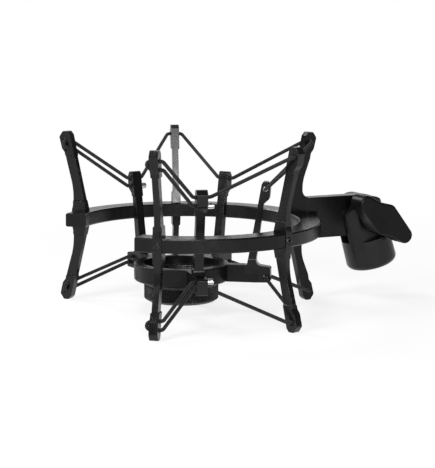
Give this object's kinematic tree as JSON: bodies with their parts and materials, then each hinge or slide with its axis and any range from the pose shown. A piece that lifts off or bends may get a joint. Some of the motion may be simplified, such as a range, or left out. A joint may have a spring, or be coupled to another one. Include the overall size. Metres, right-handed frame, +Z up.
{
  "type": "microphone shock mount",
  "caption": "Horseshoe frame on a clamp arm that hangs a post basket with a threaded ring nut on two elastic cords, so that a studio microphone is held clear of knocks.",
  "frame": {"origin": "on the microphone's axis, at the upper mouth of the ring nut's thread", "axes": "+Z up along the microphone's axis, +X along the arm towards the stand adapter"},
  "size_m": [0.1874, 0.153, 0.0966],
  "materials": {
    "frame_finish": "fine satin black coating over a casting",
    "post_finish": "fine satin black coating over a casting",
    "basket_finish": "fine satin black coating over a casting",
    "nut_finish": "black, knurled rim",
    "adapter_finish": "satin black coating",
    "lever_plastic": "fine-grained black moulding",
    "washer_plastic": "smooth black",
    "cord_cover": "braided black cover over elastic strands",
    "stop_metal": "bare crimped metal",
    "screw_steel": "blackened",
    "spring_steel": "bare",
    "insert_brass": "turned"
  },
  "bodies": {
    "root": {"horseshoe_frame": "frame_finish", "outer_post_rear_end": "post_finish", "outer_post_rear_side": "post_finish", "outer_post_front_side": "post_finish", "outer_post_front_end": "post_finish", "post_screws": "screw_steel", "upper_cord": "cord_cover", "lower_cord": "cord_cover"},
    "basket": {"basket_ring": "basket_finish", "inner_post_rear_end": "post_finish", "inner_post_rear_side": "post_finish", "inner_post_front_side": "post_finish", "inner_post_front_end": "post_finish", "foot_screws": "screw_steel", "upper_cord_stop_rear": "stop_metal", "upper_cord_stop_front": "stop_metal", "lower_cord_stop_rear": "stop_metal", "lower_cord_stop_front": "stop_metal"},
    "nut": {"ring_nut": "nut_finish", "retaining_ring": "spring_steel"},
    "adapter": {"stand_adapter": "adapter_finish", "friction_washer_near": "washer_plastic", "friction_washer_far": "washer_plastic", "clamp_bolt": "screw_steel"},
    "lever": {"clamp_lever": "lever_plastic", "lever_washer": "spring_steel", "lever_insert": "insert_brass"}
  },
  "joints": [
    {"name": "basket_bounce", "type": "slide", "parent": "root", "child": "basket", "axis": [0, 0, 1], "range_m": [-0.006, 0.006], "stiffness_N_per_m": 900, "springref_m": 0.0023, "deforming": ["upper_cord", "lower_cord"]},
    {"name": "nut_turn", "type": "hinge", "parent": "basket", "child": "nut", "pos_m": [0, 0, 0], "axis": [0, 0, 1], "continuous": true},
    {"name": "stand_swivel", "type": "hinge", "parent": "root", "child": "adapter", "pos_m": [0.116, 0, 0.024], "axis": [0, -1, 0], "range_deg": [-20, 156]},
    {"name": "lever_turn", "type": "hinge", "parent": "adapter", "child": "lever", "pos_m": [0.116, 0, 0.024], "axis": [0, -1, 0], "range_deg": [0, 360]}
  ]
}
